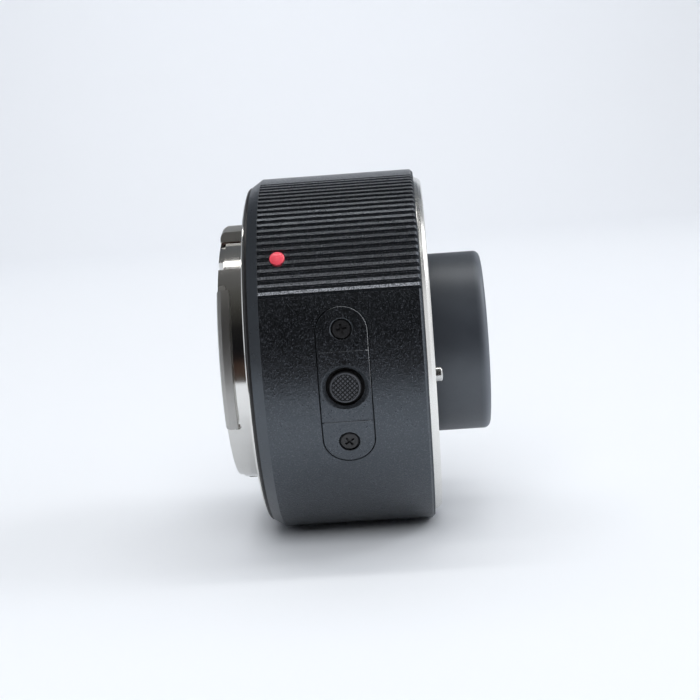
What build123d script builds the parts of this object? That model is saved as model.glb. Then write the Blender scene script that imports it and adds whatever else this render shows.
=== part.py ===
from build123d import *
from math import cos, sin, radians, pi, sqrt
import os

os.makedirs("parts", exist_ok=True)

# Frame: +X runs along the optical axis from the camera side to the lens side, +Z is up.
# The origin is the centre of the rear flange seat. Clock angles are measured from -Y
# (the side with the release button), positive upward. Millimetres.

# ---------------------------------------------------------------- driving dimensions
flange_to_flange = 36.0      # rear flange seat to front flange seat
barrel_r = 36.65             # outer shell
barrel_bore_r = 34.4
barrel_rear_x = 1.2
barrel_front_x = 34.5
bevel_x = 3.4                # smooth rear bevel ends here
bevel_r = 35.2
rib_depth = 0.47
rib_pitch = 2.5              # degrees
rib_first = 24.75            # clock angle of the first crest
rib_count = 21
groove_half_top = 0.78       # half width of a groove at the surface, degrees
groove_half_floor = 0.55     # half width of a groove at its floor, degrees
tube_r = 25.7                # male bayonet tube
tube_bore_r = 23.6
lug_r = 27.5
bayonet_end_x = -5.7
lug_front_x = -3.3
flange_r = 33.8
throat_r = 25.8              # female bayonet throat
lug_clear_r = 27.9
ring_r = 35.0
nose_r = 18.7
nose_front_x = 47.3
nose_round = 1.3             # rounded end edge of the nose
nose_bore_r = 15.4
mech_clock = -4.8            # clock angle of button, lever and lock pin
button_x = 18.8
button_r = 3.0
button_top = 36.75           # radial height of the button face
button_travel = 1.8
cover_mid_r = 36.52          # radius of the cover's lowered middle
cover_half_y = 15.0
cover_half_x = 4.88
cover_end_y = 4.6            # half of the rounded end, seen along the button axis
cover_gap = 0.2
seat_r = 35.1                # floor of the cover's pocket
lock_r = 30.2                # radius of the lock pin's centre line
pin_r = 1.4                  # free tip
pin_guide_r = 1.7            # guided length, up to the flange seat
pin_tip_x = 37.4
lever_x = 23.55              # lever pivot
lever_z = 25.6
arm_in = 4.8                 # arm under the button
arm_out = 4.6                # arm in the lock pin's slot
lever_lean = 10.74           # half of the lever's swing, degrees
dot_x = 7.3
dot_clock = 36.2
dot_r = 1.45
contact_r = 21.8             # pitch radius of the contacts
contact_step = 4.8           # degrees between contacts
contact_mid = -90.0          # clock angle of the contact blocks
contact_travel = 0.7
lugs_male = [(71, 115), (-25, 35), (150, 208), (222, 262)]
tab_rear_x = 33.0            # rear faces of the front bayonet's tabs
tabs_female = [(-13.5, 20.5), (66.5, 98.5), (159.5, 170.5), (213.5, 283.5)]
rear_screw_clocks = [22, 80, 140, 200, 250, 312]
front_screw_clocks = [25, 80, 140, 200, 255, 322]


# ---------------------------------------------------------------- helpers
def yz(r, clock):
    """Point on a plane across the optical axis, from radius and clock angle."""
    return (-r * cos(radians(clock)), r * sin(radians(clock)))


def radial_plane(x, clock, height=0.0):
    """Plane whose Z points radially outward and whose X runs along the optical axis."""
    c, s = cos(radians(clock)), sin(radians(clock))
    return Plane(origin=(x, -height * c, height * s), x_dir=(1, 0, 0), z_dir=(0, -c, s))


def turned(points, mode=Mode.ADD):
    """Turn a closed (x, radius) profile about the optical axis."""
    with BuildSketch(Plane.XY) as profile:
        with BuildLine():
            Polyline(*points, close=True)
        make_face()
    revolve(profile.sketch, axis=Axis.X, mode=mode)


def bar(x0, x1, r0, r1, mode=Mode.ADD):
    """A plain ring, x0 to x1, r0 to r1."""
    turned([(x0, r0), (x1, r0), (x1, r1), (x0, r1)], mode=mode)


def sector_face(plane, r0, r1, a0, a1):
    """Ring sector on a plane across the axis, between two clock angles."""
    with BuildSketch(plane) as s:
        with BuildLine():
            p0, p1 = yz(r0, a0), yz(r1, a0)
            q0, q1 = yz(r0, a1), yz(r1, a1)
            am = (a0 + a1) / 2
            Line(p0, p1)
            ThreePointArc(p1, yz(r1, am), q1)
            Line(q1, q0)
            ThreePointArc(q0, yz(r0, am), p0)
        make_face()
    return s.sketch


def sector(x0, x1, r0, r1, a0, a1, mode=Mode.ADD):
    extrude(sector_face(Plane.YZ.offset(x0), r0, r1, a0, a1), amount=x1 - x0, mode=mode)


def round_bar(x0, x1, r, clock, radius, mode=Mode.ADD):
    """Cylinder parallel to the optical axis at a radius and clock angle."""
    with BuildSketch(Plane.YZ.offset(x0)) as s:
        with Locations(yz(r, clock)):
            Circle(radius)
    extrude(s.sketch, amount=x1 - x0, mode=mode)


def axial_screw(x_head, direction, r, clock, head_r, shank_r, head_h, length, flat_head=True, turn=0.0):
    """Cross-head screw along the optical axis, its head face at x_head."""
    y, z = yz(r, clock)
    plane = Plane(origin=(x_head, y, z), x_dir=(0, cos(radians(clock)), -sin(radians(clock))),
                  z_dir=(-direction, 0, 0))
    screw_at(plane, head_r, shank_r, head_h, length, flat_head, turn)


def screw_at(plane, head_r, shank_r, head_h, length, flat_head=True, turn=0.0):
    """Screw whose head face lies on the plane and whose shank runs along -Z of it."""
    with BuildSketch(Plane(origin=plane.origin, x_dir=plane.x_dir, z_dir=plane.y_dir)) as s:
        with BuildLine():
            if flat_head:
                Polyline((0, 0), (head_r, 0), (head_r, 0.12), (shank_r, head_h), (shank_r, length),
                         (shank_r * 0.6, length + 0.3), (0, length + 0.3), close=True)
            else:
                Polyline((0, 0), (head_r - 0.15, 0), (head_r, 0.15), (head_r, head_h), (shank_r, head_h),
                         (shank_r, length), (shank_r * 0.6, length + 0.3), (0, length + 0.3), close=True)
        make_face()
    axis = Axis(plane.origin, plane.z_dir)
    revolve(s.sketch, axis=axis)
    with BuildSketch(plane) as cross:
        Rectangle(head_r * 1.15, head_r * 0.26, rotation=turn)
        Rectangle(head_r * 0.26, head_r * 1.15, rotation=turn)
    extrude(cross.sketch, amount=-min(0.6, head_h * 0.65), mode=Mode.SUBTRACT)


def save(piece, label):
    piece.part.label = label
    export_step(piece.part, "parts/" + label + ".step")


def cover_outline(plane, grow=0.0):
    """Stadium outline of the release cover, seen along the button's axis."""
    hx, hy, ey = cover_half_x + grow, cover_half_y + grow, cover_end_y + grow
    straight = hy - ey
    with BuildSketch(plane) as s:
        with BuildLine():
            Line((hx, -straight), (hx, straight))
            EllipticalCenterArc((0, straight), hx, ey, start_angle=0, arc_size=180)
            Line((-hx, straight), (-hx, -straight))
            EllipticalCenterArc((0, -straight), hx, ey, start_angle=180, arc_size=180)
        make_face()
    return s.sketch


def spring_coil(axis_plane, mean_r, wire_r, height, turns):
    """Coil spring standing on a plane."""
    pitch = height / turns
    with BuildLine() as path:
        Helix(pitch=pitch, height=height, radius=mean_r, center=axis_plane.origin,
              direction=axis_plane.z_dir)
    with BuildSketch(Plane(origin=path.line @ 0, z_dir=path.line % 0)) as wire:
        Circle(wire_r)
    return sweep(wire.sketch, path=path.line, mode=Mode.PRIVATE)


mech = radial_plane(0, mech_clock)                   # local X axial, Z radial, Y tangential
button_plane = radial_plane(button_x, mech_clock)    # same, centred on the button

# ================================================================ outer shell
# volume of the release cover's pocket
with BuildPart() as pocket_tool:
    extrude(cover_outline(radial_plane(button_x, mech_clock, 30.0), cover_gap), amount=8)
    bar(10, 28, 20, seat_r, mode=Mode.SUBTRACT)

with BuildPart() as outer_barrel:
    turned([(barrel_rear_x, 32.5), (barrel_rear_x, bevel_r), (bevel_x, barrel_r),
            (barrel_front_x - 0.6, barrel_r), (barrel_front_x, barrel_r - 0.6),
            (barrel_front_x, barrel_bore_r), (2.7, barrel_bore_r), (2.7, 32.5)])
    # grip ribs on both upper flanks: grooves with sloping walls are cut between the crests,
    # and a narrower groove ends each field
    rib_last = rib_first + rib_pitch * (rib_count - 1)
    grooves = [(rib_first + rib_pitch * (k + 0.5), 1.0) for k in range(rib_count - 1)]
    grooves += [(rib_first - 1.02, 0.7), (rib_last + 1.02, 0.7)]
    grooves += [(180 - clock, width) for clock, width in grooves]
    with BuildSketch(Plane.YZ.offset(bevel_x)) as groove_sections:
        for clock, width in grooves:
            top, floor = groove_half_top * width, groove_half_floor * width
            with BuildLine():
                Polyline(yz(barrel_r + 0.3, clock - top - 0.1), yz(barrel_r, clock - top),
                         yz(barrel_r - rib_depth, clock - floor), yz(barrel_r - rib_depth, clock + floor),
                         yz(barrel_r, clock + top), yz(barrel_r + 0.3, clock + top + 0.1), close=True)
            make_face()
    extrude(groove_sections.sketch, amount=31.5, mode=Mode.SUBTRACT)
    # pocket for the release cover
    add(pocket_tool.part, mode=Mode.SUBTRACT)
    with BuildSketch(radial_plane(button_x, mech_clock, 33.0)) as button_hole:
        Circle(4.9)
    extrude(button_hole.sketch, amount=3, mode=Mode.SUBTRACT)
    for side in (17.4, -17.4):
        with BuildSketch(radial_plane(button_x, mech_clock + side, 33.0)) as thread:
            Circle(0.9)
        extrude(thread.sketch, amount=3, mode=Mode.SUBTRACT)
    with BuildSketch(radial_plane(dot_x, dot_clock, barrel_r - 0.9)) as dot_seat:
        Circle(dot_r + 0.16)
    extrude(dot_seat.sketch, amount=2, mode=Mode.SUBTRACT)
save(outer_barrel, "outer_barrel")

dome_r = (dot_r ** 2 + 0.45 ** 2) / (2 * 0.45)
with BuildPart() as index_dot:
    with BuildSketch(Plane(origin=radial_plane(dot_x, dot_clock, barrel_r).origin, x_dir=(1, 0, 0),
                           z_dir=radial_plane(dot_x, dot_clock).y_dir)) as dome:
        with BuildLine():
            Line((0, 0.9), (dot_r, 0.9))
            Line((dot_r, 0.9), (dot_r, -0.05))
            ThreePointArc((dot_r, -0.05), (0.7, -0.5 + dome_r - sqrt(dome_r ** 2 - 0.49)), (0, -0.5))
            Line((0, -0.5), (0, 0.9))
        make_face()
    revolve(dome.sketch, axis=Axis(radial_plane(dot_x, dot_clock, barrel_r).origin,
                                   radial_plane(dot_x, dot_clock).z_dir))
save(index_dot, "index_dot")

with BuildPart() as rear_gasket:
    turned([(barrel_rear_x, flange_r + 0.05), (0.6, flange_r + 0.05), (0.45, flange_r + 0.25), (0.45, 34.7),
            (0.75, 35.0), (barrel_rear_x, 35.0)])
save(rear_gasket, "rear_gasket")

# ================================================================ rear bayonet
with BuildPart() as male_lugs:
    for a0, a1 in lugs_male:
        wide = (a0, a1) == lugs_male[0]
        sector(bayonet_end_x, 0.0 if wide else lug_front_x, tube_r - 0.5, lug_r, a0, a1)
    turned([(bayonet_end_x - 1.5, lug_r - 0.9), (bayonet_end_x, lug_r - 0.9),
            (bayonet_end_x + 0.25, lug_r - 0.35), (bayonet_end_x + 0.9, lug_r),
            (bayonet_end_x + 0.9, lug_r + 2), (bayonet_end_x - 1.5, lug_r + 2)], mode=Mode.SUBTRACT)
    # the upper lug starts with a ramp
    with BuildSketch(Plane.YZ.offset(bayonet_end_x - 1)) as ramp:
        with BuildLine():
            Polyline(yz(lug_r + 0.3, 70.5), yz(lug_r + 0.3, 75), yz(tube_r, 70.5), close=True)
        make_face()
    extrude(ramp.sketch, amount=7, mode=Mode.SUBTRACT)

with BuildPart() as rear_bayonet:
    turned([(bayonet_end_x, tube_bore_r), (bayonet_end_x, tube_r - 0.45), (bayonet_end_x + 1.1, tube_r - 0.4),
            (bayonet_end_x + 1.15, tube_r),
            (0, tube_r), (0, flange_r - 0.2), (0.2, flange_r), (1.2, flange_r), (1.2, 32.4), (2.0, 32.4),
            (2.0, tube_bore_r)])
    add(male_lugs.part)
    # stop pin at the upper end of the near lug, round pocket at its lower end
    with BuildSketch(radial_plane(-4.6, 36.0, tube_bore_r + 1.0)) as stop_pin:
        Circle(0.75)
    extrude(stop_pin.sketch, amount=27.3 - tube_bore_r - 1.0)
    with BuildSketch(radial_plane(-3.6, -26.3, tube_r - 0.9)) as stop_pocket:
        Circle(0.75)
    extrude(stop_pocket.sketch, amount=3, mode=Mode.SUBTRACT)
    # slot in the tube's end lip
    sector(bayonet_end_x - 0.5, bayonet_end_x + 1.05, tube_bore_r - 0.5, tube_r + 0.5, 50.2, 54.9,
           mode=Mode.SUBTRACT)
    # lock hole for the camera's pin
    round_bar(-0.5, 2.5, lock_r, mech_clock, 1.6, mode=Mode.SUBTRACT)
    for clock in rear_screw_clocks:
        round_bar(-0.5, 2.5, 30.2, clock, 1.0, mode=Mode.SUBTRACT)
        y, z = yz(30.2, clock)
        with BuildSketch(Plane(origin=(0, y, z), x_dir=(1, 0, 0), z_dir=(0, 1, 0))) as sink:
            with BuildLine():
                Polyline((-0.5, 0), (-0.5, 1.85), (0.17, 1.85), (1.05, 1.0), (1.05, 0), close=True)
            make_face()
        revolve(sink.sketch, axis=Axis((0, y, z), (1, 0, 0)), mode=Mode.SUBTRACT)
save(rear_bayonet, "rear_bayonet")

with BuildPart() as rear_mount_screws:
    for k, clock in enumerate(rear_screw_clocks):
        axial_screw(0.05, 1, 30.2, clock, 1.72, 1.0, 0.9, 4.0, turn=17.0 * k)
save(rear_mount_screws, "rear_mount_screws")

with BuildPart() as rear_mount_shim:
    bar(2.0, 2.2, 26.6, 32.2)
    for clock in rear_screw_clocks:
        round_bar(1.5, 3, 30.2, clock, 1.15, mode=Mode.SUBTRACT)
    round_bar(1.5, 3, lock_r, mech_clock, 1.9, mode=Mode.SUBTRACT)
save(rear_mount_shim, "rear_mount_shim")

# ================================================================ chassis
# boss round the lock pin, seats behind the front screws
with BuildPart() as front_bosses:
    round_bar(27.5, 33.0, lock_r, mech_clock, 2.9)
    for clock in front_screw_clocks:
        round_bar(28.5, 32.6, 31.6, clock, 2.25)
    bar(27, 36, 10, lug_clear_r, mode=Mode.SUBTRACT)
    bar(27, 36, 33.9, 40, mode=Mode.SUBTRACT)

# feet under the lever bracket and standoffs under the circuit board
with BuildPart() as core_feet:
    for side in (1, -1):
        with BuildSketch(mech) as foot_plan:
            with Locations((22.0, side * 5.4)):
                Rectangle(9.0, 3.8)
        extrude(foot_plan.sketch, amount=24.6)
    for x in (9.0, 23.0):
        with BuildSketch(radial_plane(x, 180, 0)) as standoff_plan:
            Circle(1.9)
        extrude(standoff_plan.sketch, amount=26.0)
    with BuildSketch(Plane.YZ) as hub:
        Circle(22.6)
    extrude(hub.sketch, amount=40, mode=Mode.SUBTRACT)

with BuildPart() as core_frame:
    turned([(2.2, 21.7), (2.2, 32.3), (2.7, 32.3), (2.7, 34.2), (4.2, 34.2), (4.2, 23.5), (27.5, 23.5),
            (27.5, 33.9), (29.0, 33.9), (29.0, 29.4), (32.2, 29.4), (32.2, 34.2), (34.2, 34.2),
            (34.2, lug_clear_r), (29.0, lug_clear_r), (29.0, 19.1), (24.0, 19.1), (24.0, 21.7)])
    add(front_bosses.part)
    add(core_feet.part)
    round_bar(27, 35, lock_r, mech_clock, pin_guide_r + 0.05, mode=Mode.SUBTRACT)
    round_bar(2, 3.6, lock_r, mech_clock, 1.9, mode=Mode.SUBTRACT)
    for clock in rear_screw_clocks:
        round_bar(2, 4.3, 30.2, clock, 1.0, mode=Mode.SUBTRACT)
    for clock in front_screw_clocks:
        round_bar(30.2, 35, 31.6, clock, 1.0, mode=Mode.SUBTRACT)
    # window for the front contact block, and a passage for the flex circuit
    sector(24.6, 29.5, 19.6, 24.2, contact_mid - 30, contact_mid + 30, mode=Mode.SUBTRACT)
    sector(1.5, 5, 25.4, 26.9, contact_mid - 16, contact_mid + 16, mode=Mode.SUBTRACT)
    # threads for the lever bracket and the circuit board
    for side in (1, -1):
        with BuildSketch(radial_plane(22.0, mech_clock, 22.9)) as tap:
            with Locations((0, side * 5.4)):
                Circle(0.7)
        extrude(tap.sketch, amount=2, mode=Mode.SUBTRACT)
    for x in (9.0, 23.0):
        with BuildSketch(radial_plane(x, 180, 22.9)) as tap:
            Circle(0.8)
        extrude(tap.sketch, amount=4, mode=Mode.SUBTRACT)
    # taps for the nose barrel's screws
    for clock in (30, 150, 210, 330):
        round_bar(23.9, 28.2, 20.3, clock, 0.7, mode=Mode.SUBTRACT)
    # oring grooves
    bar(3.1, 3.8, 33.7, 35, mode=Mode.SUBTRACT)
    bar(32.9, 33.6, 33.7, 35, mode=Mode.SUBTRACT)
save(core_frame, "core_frame")

with BuildPart() as barrel_orings:
    for x in (3.45, 33.25):
        with BuildSketch(Plane.XY) as section:
            with Locations((x, 34.03)):
                Circle(0.33)
        revolve(section.sketch, axis=Axis.X)
save(barrel_orings, "barrel_orings")

# ================================================================ front bayonet
# the four tabs that hold a lens's lugs, seated in the ring's bore
with BuildPart() as front_bayonet_tabs:
    for a0, a1 in tabs_female:
        sector(tab_rear_x, flange_to_flange, throat_r, lug_clear_r, a0, a1)
    turned([(flange_to_flange + 0.1, throat_r - 0.5), (flange_to_flange + 0.1, throat_r + 0.4),
            (flange_to_flange - 0.4, throat_r - 0.1), (flange_to_flange - 0.4, throat_r - 0.5)],
           mode=Mode.SUBTRACT)
    bar(tab_rear_x - 0.1, 34.5, lug_clear_r - 0.05, 40, mode=Mode.SUBTRACT)
save(front_bayonet_tabs, "front_bayonet_tabs")

with BuildPart() as front_mount_ring:
    turned([(34.5, lug_clear_r), (34.5, ring_r), (34.6, ring_r), (35.25, ring_r - 0.28), (35.75, ring_r - 0.62),
            (flange_to_flange, ring_r - 0.95), (flange_to_flange, lug_clear_r)])
    round_bar(34, 37, lock_r, mech_clock, pin_guide_r + 0.1, mode=Mode.SUBTRACT)
    for clock in front_screw_clocks:
        round_bar(34, 37, 31.6, clock, 1.0, mode=Mode.SUBTRACT)
        y, z = yz(31.6, clock)
        with BuildSketch(Plane(origin=(0, y, z), x_dir=(1, 0, 0), z_dir=(0, 1, 0))) as sink:
            with BuildLine():
                Polyline((36.5, 0), (36.5, 1.85), (35.83, 1.85), (34.95, 1.0), (34.95, 0), close=True)
            make_face()
        revolve(sink.sketch, axis=Axis((0, y, z), (1, 0, 0)), mode=Mode.SUBTRACT)
save(front_mount_ring, "front_mount_ring")

with BuildPart() as front_mount_screws:
    for k, clock in enumerate(front_screw_clocks):
        axial_screw(flange_to_flange - 0.05, -1, 31.6, clock, 1.72, 1.0, 0.9, 4.2, turn=23.0 * k)
save(front_mount_screws, "front_mount_screws")

with BuildPart() as front_mount_shim:
    bar(34.2, 34.5, 28.6, 34.1)
    for clock in front_screw_clocks:
        round_bar(34, 35, 31.6, clock, 1.15, mode=Mode.SUBTRACT)
    round_bar(34, 35, lock_r, mech_clock, pin_guide_r + 0.3, mode=Mode.SUBTRACT)
save(front_mount_shim, "front_mount_shim")

with BuildPart() as mount_leaf_springs:
    for a0, a1 in (tabs_female[0], tabs_female[1], tabs_female[3]):
        sector(tab_rear_x - 0.25, tab_rear_x, throat_r + 0.3, lug_clear_r - 0.15, a0 + 2, a1 - 2)
save(mount_leaf_springs, "mount_leaf_springs")

# ================================================================ contacts
half_fan = 4.5 * contact_step
contact_clocks = [contact_mid - half_fan + contact_step * k for k in range(10)]

with BuildPart() as rear_contact_block:
    sector(-4.9, -1.6, 19.9, 23.5, contact_mid - 29, contact_mid + 29)
    for clock in contact_clocks:
        round_bar(-5.0, -4.7, contact_r, clock, 0.8, mode=Mode.SUBTRACT)
    for side in (-26.6, 26.6):
        round_bar(-5, -1, contact_r, contact_mid + side, 0.6, mode=Mode.SUBTRACT)
save(rear_contact_block, "rear_contact_block")

with BuildPart() as rear_contact_pads:
    for clock in contact_clocks:
        round_bar(-5.1, -4.7, contact_r, clock, 0.8)
save(rear_contact_pads, "rear_contact_pads")

with BuildPart() as rear_contact_screws:
    for side in (-26.6, 26.6):
        axial_screw(-5.4, 1, contact_r, contact_mid + side, 1.0, 0.6, 0.5, 3.4, flat_head=False)
save(rear_contact_screws, "rear_contact_screws")

with BuildPart() as rear_baffle:
    # black frame inside the bayonet tube, open where the contact block sits
    turned([(-4.4, 11.0), (-4.4, 23.5), (2.1, 23.5), (2.1, 22.6), (-3.5, 22.6), (-3.5, 11.0)])
    with BuildSketch(Plane.YZ.offset(-5)) as gate:
        RectangleRounded(36.0, 25.0, 5.0)
    extrude(gate.sketch, amount=2.0, mode=Mode.SUBTRACT)
    sector(-5, 3, 19.7, 24, contact_mid - 29.6, contact_mid + 29.6, mode=Mode.SUBTRACT)
    for clock in (35, 145, 90):
        round_bar(-5, -3, 20.6, clock, 0.7, mode=Mode.SUBTRACT)
        round_bar(-3.5, 0, 20.6, clock, 1.5)
        round_bar(-5, 0.5, 20.6, clock, 0.7, mode=Mode.SUBTRACT)
save(rear_baffle, "rear_baffle")

with BuildPart() as rear_baffle_screws:
    for clock in (35, 145, 90):
        axial_screw(-4.9, 1, 20.6, clock, 1.25, 0.7, 0.5, 4.0, flat_head=False)
save(rear_baffle_screws, "rear_baffle_screws")

with BuildPart() as front_contact_block:
    sector(26.4, 30.4, 19.9, 23.9, contact_mid - 29, contact_mid + 29)
    sector(29.0, 30.4, 23.8, 24.9, contact_mid - 12, contact_mid + 12)
    for clock in contact_clocks:
        round_bar(26.0, 28.75, contact_r, clock, 0.84, mode=Mode.SUBTRACT)
        round_bar(28, 31, contact_r, clock, 0.5, mode=Mode.SUBTRACT)
    for side in (-26.6, 26.6):
        round_bar(26, 31, contact_r, contact_mid + side, 0.6, mode=Mode.SUBTRACT)
save(front_contact_block, "front_contact_block")

with BuildPart() as front_contact_screws:
    for side in (-26.6, 26.6):
        axial_screw(30.9, -1, contact_r, contact_mid + side, 1.0, 0.6, 0.5, 4.2, flat_head=False)
save(front_contact_screws, "front_contact_screws")

for k, clock in enumerate(contact_clocks):
    y, z = yz(contact_r, clock)
    with BuildPart() as contact_pin:
        with BuildSketch(Plane(origin=(0, y, z), x_dir=(1, 0, 0), z_dir=(0, 1, 0))) as pin_profile:
            with BuildLine():
                Line((28.2, 0), (28.2, 0.77))
                Line((28.2, 0.77), (28.65, 0.77))
                Line((28.65, 0.77), (28.65, 0.45))
                Line((28.65, 0.45), (31.55, 0.45))
                ThreePointArc((31.55, 0.45), (31.55 + 0.45 * sin(pi / 4), 0.45 * cos(pi / 4)), (32.0, 0))
                Line((32.0, 0), (28.2, 0))
            make_face()
        revolve(pin_profile.sketch, axis=Axis((0, y, z), (1, 0, 0)))
    save(contact_pin, "contact_pin_%02d" % (k + 1))

with BuildPart() as contact_pin_springs:
    for clock in contact_clocks:
        y, z = yz(contact_r, clock)
        base = Plane(origin=(26.55, y, z), x_dir=(0, 1, 0), z_dir=(1, 0, 0))
        add(spring_coil(base, 0.6, 0.13, 1.5, 4))
save(contact_pin_springs, "contact_pin_springs")

# ================================================================ release mechanism
# every piece here is drawn on the plane through the optical axis and the button
# everything outside the cover's curved top and its lowered middle
with BuildPart() as cover_top:
    with BuildSketch(radial_plane(button_x, mech_clock, 30.0)) as plan:
        Rectangle(14, 13.6)
    extrude(plan.sketch, amount=10)
    with BuildSketch(Plane.YZ.offset(5)) as middle:
        Circle(cover_mid_r)
    extrude(middle.sketch, amount=27, mode=Mode.SUBTRACT)
    bar(5, 32, barrel_r, 50)

with BuildPart() as release_cover:
    extrude(cover_outline(radial_plane(button_x, mech_clock, 30.0)), amount=8)
    add(cover_top.part, mode=Mode.SUBTRACT)
    with BuildSketch(Plane.YZ.offset(5)) as core:
        Circle(seat_r + 0.2)
    extrude(core.sketch, amount=27, mode=Mode.SUBTRACT)
    with BuildSketch(Plane(origin=radial_plane(button_x, mech_clock, 0).origin, x_dir=(1, 0, 0),
                           z_dir=(mech.y_dir))) as bore:
        with BuildLine():
            Polyline((0, -34), (3.72, -34), (3.72, -(cover_mid_r - 0.62)), (4.6, -cover_mid_r),
                     (4.6, -38), (0, -38), close=True)
        make_face()
    revolve(bore.sketch, axis=Axis(radial_plane(button_x, mech_clock, 0).origin, mech.z_dir),
            mode=Mode.SUBTRACT)
    for side in (17.4, -17.4):
        seat = radial_plane(button_x, mech_clock + side, barrel_r)
        with BuildSketch(Plane(origin=seat.origin, x_dir=(1, 0, 0), z_dir=seat.y_dir)) as sink:
            with BuildLine():
                Polyline((0, -0.6), (2.2, -0.6), (2.2, 0.0), (2.05, 0.1), (2.05, 0.95), (1.0, 0.95), (1.0, 2.5),
                         (0, 2.5), close=True)
            make_face()
        revolve(sink.sketch, axis=Axis(seat.origin, seat.z_dir), mode=Mode.SUBTRACT)
save(release_cover, "release_cover")

with BuildPart() as release_cover_screws:
    for side in (17.4, -17.4):
        seat = radial_plane(button_x, mech_clock + side, barrel_r - 0.1)
        screw_at(seat, 1.75, 0.9, 0.8, 2.6, flat_head=False, turn=10.0 if side > 0 else 35.0)
save(release_cover_screws, "release_cover_screws")

with BuildPart() as release_cover_seal:
    extrude(cover_outline(radial_plane(button_x, mech_clock, 30.0), -0.25), amount=8)
    extrude(cover_outline(radial_plane(button_x, mech_clock, 30.0), -0.75), amount=8, mode=Mode.SUBTRACT)
    bar(5, 32, seat_r + 0.2, 50, mode=Mode.SUBTRACT)
    bar(5, 32, 20, seat_r, mode=Mode.SUBTRACT)
save(release_cover_seal, "release_cover_seal")

# studs of the knurled button face, left between two crossed sets of grooves
with BuildPart() as knurl:
    with BuildSketch(radial_plane(button_x, mech_clock, button_top - 0.28)) as grid:
        with GridLocations(0.62, 0.62, 9, 9):
            Rectangle(0.37, 0.37)
        Circle(2.5, mode=Mode.INTERSECT)
    extrude(grid.sketch.rotate(Axis(button_plane.origin, button_plane.z_dir), 40), amount=0.28)

with BuildPart() as release_button:
    with BuildSketch(Plane(origin=button_plane.origin, x_dir=(1, 0, 0), z_dir=button_plane.y_dir)) as body:
        with BuildLine():
            Polyline((0, -27.45), (0.9, -27.45), (0.9, -34.0), (4.3, -34.0), (4.3, -34.8),
                     (button_r, -34.8), (button_r, -(button_top - 0.3)), (button_r - 0.25, -button_top),
                     (button_r - 0.4, -button_top), (button_r - 0.4, -(button_top - 0.27)),
                     (0, -(button_top - 0.27)), close=True)
        make_face()
    revolve(body.sketch, axis=Axis(button_plane.origin, button_plane.z_dir))
    add(knurl.part)
save(release_button, "release_button")

with BuildPart() as button_spring:
    add(spring_coil(radial_plane(button_x, mech_clock, 29.8), 1.45, 0.17, 4.02, 4))
save(button_spring, "button_spring")

tip_a = (lever_x - arm_in * cos(radians(lever_lean)), lever_z + arm_in * sin(radians(lever_lean)))
tip_b = (lever_x + arm_out * sin(radians(lever_lean)), lever_z + arm_out * cos(radians(lever_lean)))


def side_plane(y):
    """Plane of the lever: local X axial, local Y radially outward."""
    origin = mech.from_local_coords(Vector(0, y, 0))
    return Plane(origin=origin, x_dir=(1, 0, 0), z_dir=mech.y_dir * -1)


with BuildPart() as release_lever:
    with BuildSketch(side_plane(1.2)) as lever_plan:
        with Locations((lever_x, lever_z)):
            Circle(1.5)
        with Locations(tip_a):
            Circle(0.7)
        with Locations(tip_b):
            Circle(0.7)
        with BuildLine() as arm_a:
            Line((lever_x, lever_z), tip_a)
        with BuildLine() as arm_b:
            Line((lever_x, lever_z), tip_b)
        trace(arm_a.line, 1.2)
        trace(arm_b.line, 1.1)
        with Locations((lever_x, lever_z)):
            Circle(0.83, mode=Mode.SUBTRACT)
    extrude(lever_plan.sketch, amount=2.0)
save(release_lever, "release_lever")

with BuildPart() as lever_pivot_pin:
    with BuildSketch(side_plane(3.3)) as pivot_plan:
        with Locations((lever_x, lever_z)):
            Circle(0.8)
    extrude(pivot_plan.sketch, amount=6.6)
save(lever_pivot_pin, "lever_pivot_pin")

with BuildPart() as lever_spring:
    pivot = mech.from_local_coords(Vector(lever_x, 1.42, lever_z))
    add(spring_coil(Plane(origin=pivot, x_dir=(1, 0, 0), z_dir=mech.y_dir), 1.15, 0.14, 0.78, 2))
save(lever_spring, "lever_spring")

with BuildPart() as lever_bracket:
    for side in (1, -1):
        y_in, y_out = 2.4, 3.4
        with BuildSketch(side_plane(y_out if side > 0 else -y_in)) as cheek:
            with BuildLine():
                Polyline((17.2, 24.6), (26.2, 24.6), (26.2, 27.5), (20.5, 27.5), (20.5, 29.6), (17.2, 29.6),
                         close=True)
            make_face()
            with Locations((lever_x, lever_z)):
                Circle(0.8, mode=Mode.SUBTRACT)
        extrude(cheek.sketch, amount=1.0)
        with BuildSketch(mech.offset(24.6)) as foot:
            with Locations((21.7, side * 5.0)):
                Rectangle(9.0, 3.4)
            with Locations((22.0, side * 5.4)):
                Circle(0.75, mode=Mode.SUBTRACT)
        extrude(foot.sketch, amount=0.9)
    with BuildSketch(mech.offset(28.8)) as guide:
        with Locations((18.85, 0)):
            Rectangle(3.3, 6.8)
        with Locations((button_x, 0)):
            Circle(0.95, mode=Mode.SUBTRACT)
    extrude(guide.sketch, amount=0.8)
save(lever_bracket, "lever_bracket")

with BuildPart() as lever_bracket_screws:
    for side in (1, -1):
        head = Plane(origin=mech.from_local_coords(Vector(22.0, side * 5.4, 26.1)), x_dir=(1, 0, 0),
                     z_dir=mech.z_dir)
        screw_at(head, 1.25, 0.7, 0.6, 2.3, flat_head=False)
save(lever_bracket_screws, "lever_bracket_screws")

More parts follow.
